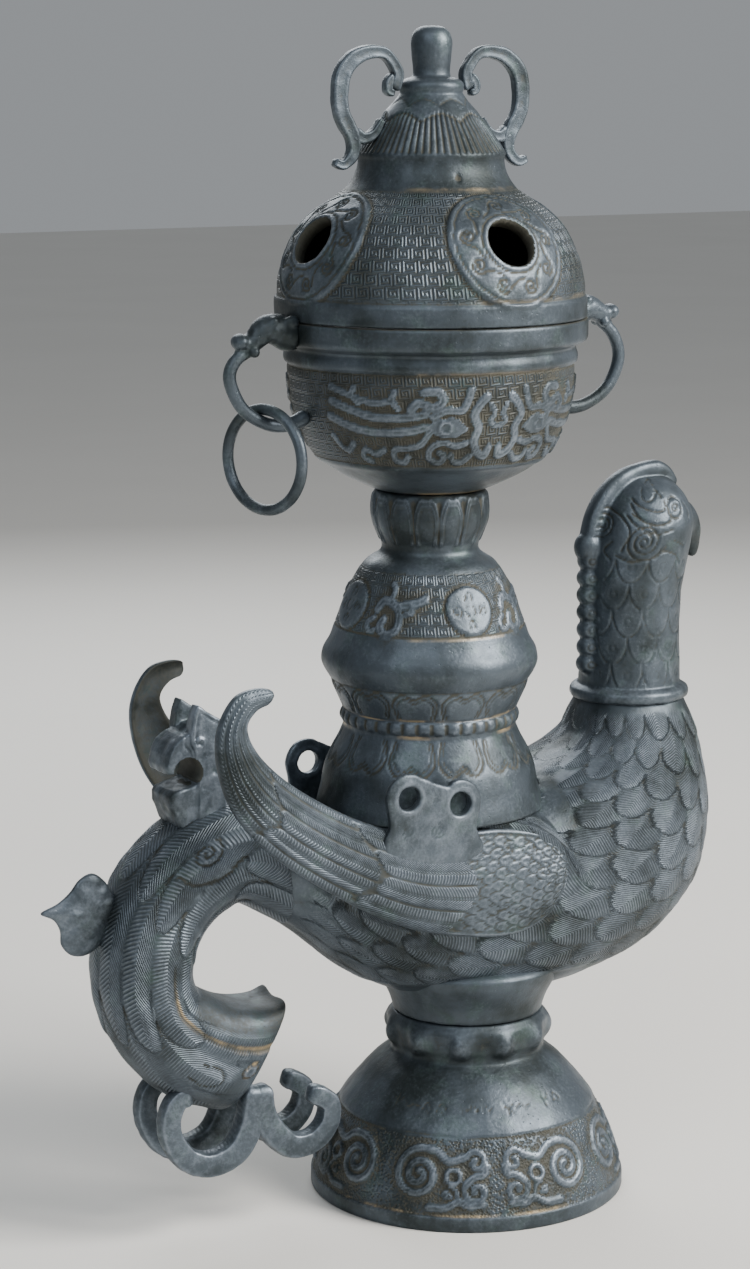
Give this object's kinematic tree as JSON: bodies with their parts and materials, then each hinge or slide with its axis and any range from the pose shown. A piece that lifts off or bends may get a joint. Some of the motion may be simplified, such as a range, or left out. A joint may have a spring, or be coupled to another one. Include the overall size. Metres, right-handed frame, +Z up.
{
  "type": "bronze incense burner",
  "caption": "Cast bronze censer: a long-tailed bird on a hollow bell foot carries a stem, a round bowl with looped handles and a pierced lid with scrolls and a knob.",
  "frame": {"origin": "centre of the bounding box at the underside of the foot", "axes": "+Z up, +X towards the bird's head, +Y to the bird's left"},
  "size_m": [0.3282, 0.141, 0.5142],
  "materials": {
    "bronze": "dark blue-grey to green-black patina, satin, rubbed paler on raised parts, with tan and green deposits in the recesses"
  },
  "bodies": {
    "root": {"foot": "bronze", "bird_body": "bronze", "head_hood": "bronze", "wing_right": "bronze", "wing_left": "bronze", "beast_head": "bronze", "tail_curl_right": "bronze", "tail_curl_left": "bronze", "stem": "bronze", "bowl": "bronze", "bowl_handle_rear": "bronze", "bowl_handle_front": "bronze", "loose_ring": "bronze", "lid": "bronze", "lid_scroll_rear": "bronze", "lid_scroll_front": "bronze"}
  },
  "joints": []
}
